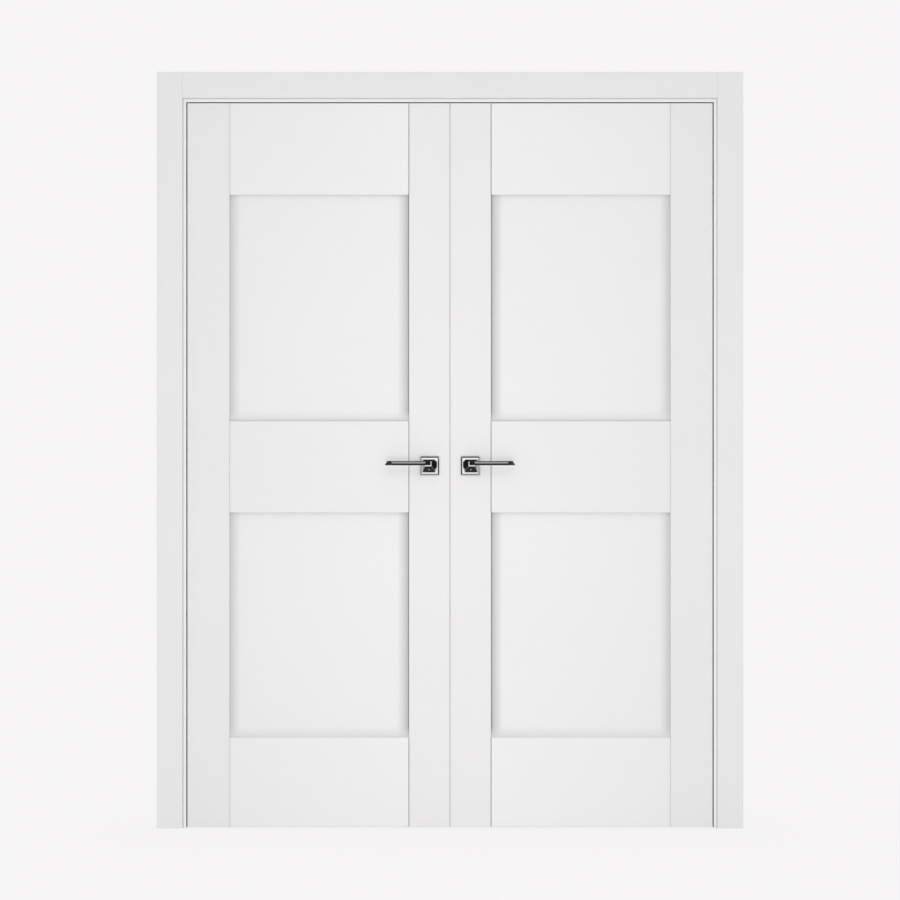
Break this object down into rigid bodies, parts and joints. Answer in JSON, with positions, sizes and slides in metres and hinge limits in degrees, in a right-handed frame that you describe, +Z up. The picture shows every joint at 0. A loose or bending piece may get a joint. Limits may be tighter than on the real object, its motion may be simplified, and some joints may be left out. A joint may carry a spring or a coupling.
{
  "type": "french doors",
  "caption": "White flat-panel french doors in their frame with flat casing, square chrome lever handles, concealed hinges, a latch and flush bolts.",
  "frame": {"origin": "on the floor in the middle of the doorway, at the front edge of the jambs", "axes": "+X to the right seen from the front, +Y through the wall to the back, +Z up"},
  "size_m": [1.645, 0.178, 2.122],
  "materials": {
    "white_lacquer": "white satin lacquer on wood board",
    "chrome": "polished chrome",
    "satin_nickel": "satin nickel plate",
    "steel": "zinc-plated steel",
    "black_nickel": "black nickel plate",
    "seal_rubber": "grey-brown door seal",
    "white_seal": "white door seal"
  },
  "bodies": {
    "frame": {"left_jamb": "white_lacquer", "right_jamb": "white_lacquer", "head_jamb": "white_lacquer", "left_stop": "white_lacquer", "right_stop": "white_lacquer", "head_stop": "white_lacquer", "left_seal": "seal_rubber", "right_seal": "seal_rubber", "head_seal": "seal_rubber", "front_casing_left": "white_lacquer", "front_casing_right": "white_lacquer", "front_casing_head": "white_lacquer", "back_casing_left": "white_lacquer", "back_casing_right": "white_lacquer", "back_casing_head": "white_lacquer", "left_frame_hinge_cups": "black_nickel", "right_frame_hinge_cups": "black_nickel", "frame_screws": "steel", "head_bolt_keep": "satin_nickel"},
    "left_leaf": {"meeting_seal": "white_seal", "left_hinge_stile": "white_lacquer", "left_meeting_stile": "white_lacquer", "left_top_rail": "white_lacquer", "left_lock_rail": "white_lacquer", "left_bottom_rail": "white_lacquer", "left_upper_panel": "white_lacquer", "left_lower_panel": "white_lacquer", "left_leaf_hinge_cups": "black_nickel", "left_leaf_screws": "steel", "left_front_rose": "chrome", "left_back_rose": "chrome", "latch_keep": "satin_nickel", "top_bolt_plate": "satin_nickel", "bottom_bolt_plate": "satin_nickel"},
    "right_leaf": {"right_hinge_stile": "white_lacquer", "right_meeting_stile": "white_lacquer", "right_top_rail": "white_lacquer", "right_lock_rail": "white_lacquer", "right_bottom_rail": "white_lacquer", "right_upper_panel": "white_lacquer", "right_lower_panel": "white_lacquer", "right_leaf_hinge_cups": "black_nickel", "right_leaf_screws": "steel", "right_front_rose": "chrome", "right_back_rose": "chrome", "latch_case": "steel", "latch_forend": "satin_nickel"},
    "left_lever": {"left_front_lever": "chrome", "left_back_lever": "chrome", "left_spindle": "steel"},
    "right_lever": {"right_front_lever": "chrome", "right_back_lever": "chrome", "right_spindle": "steel", "latch_follower": "steel"},
    "latch": {"latch_bolt": "satin_nickel"},
    "top_bolt": {"top_flush_bolt": "satin_nickel"},
    "bottom_bolt": {"bottom_flush_bolt": "satin_nickel"},
    "left_arms": {"left_hinge_arms": "black_nickel"},
    "right_arms": {"right_hinge_arms": "black_nickel"}
  },
  "joints": [
    {"name": "right_leaf_swing", "type": "hinge", "parent": "frame", "child": "right_leaf", "pos_m": [0.739, 0, 0], "axis": [0, 0, 1], "range_deg": [0, 100]},
    {"name": "left_leaf_swing", "type": "hinge", "parent": "frame", "child": "left_leaf", "pos_m": [-0.739, 0, 0], "axis": [0, 0, -1], "range_deg": [0, 100]},
    {"name": "right_arms_turn", "type": "hinge", "parent": "frame", "child": "right_arms", "pos_m": [0.739, 0, 0], "axis": [0, 0, 1], "range_deg": [0, 50]},
    {"name": "left_arms_turn", "type": "hinge", "parent": "frame", "child": "left_arms", "pos_m": [-0.739, 0, 0], "axis": [0, 0, -1], "range_deg": [0, 50]},
    {"name": "right_lever_turn", "type": "hinge", "parent": "right_leaf", "child": "right_lever", "pos_m": [0.0615, 0.02, 1.0245], "axis": [0, 1, 0], "range_deg": [0, 45], "stiffness_Nm_per_rad": 1.5, "springref_deg": -28.65},
    {"name": "left_lever_turn", "type": "hinge", "parent": "left_leaf", "child": "left_lever", "pos_m": [-0.0615, 0.02, 1.0245], "axis": [0, -1, 0], "range_deg": [0, 45], "stiffness_Nm_per_rad": 1.5, "springref_deg": -28.65},
    {"name": "latch_slide", "type": "slide", "parent": "right_leaf", "child": "latch", "axis": [-1, 0, 0], "range_m": [0, 0.011], "stiffness_N_per_m": 60, "springref_m": -0.01},
    {"name": "top_bolt_slide", "type": "slide", "parent": "left_leaf", "child": "top_bolt", "axis": [0, 0, 1], "range_m": [0, 0.016]},
    {"name": "bottom_bolt_slide", "type": "slide", "parent": "left_leaf", "child": "bottom_bolt", "axis": [0, 0, -1], "range_m": [0, 0.016]}
  ],
  "couplings": [
    {"joint": "right_arms_turn", "follows": "right_leaf_swing", "ratio": 0.5},
    {"joint": "left_arms_turn", "follows": "left_leaf_swing", "ratio": 0.5}
  ]
}
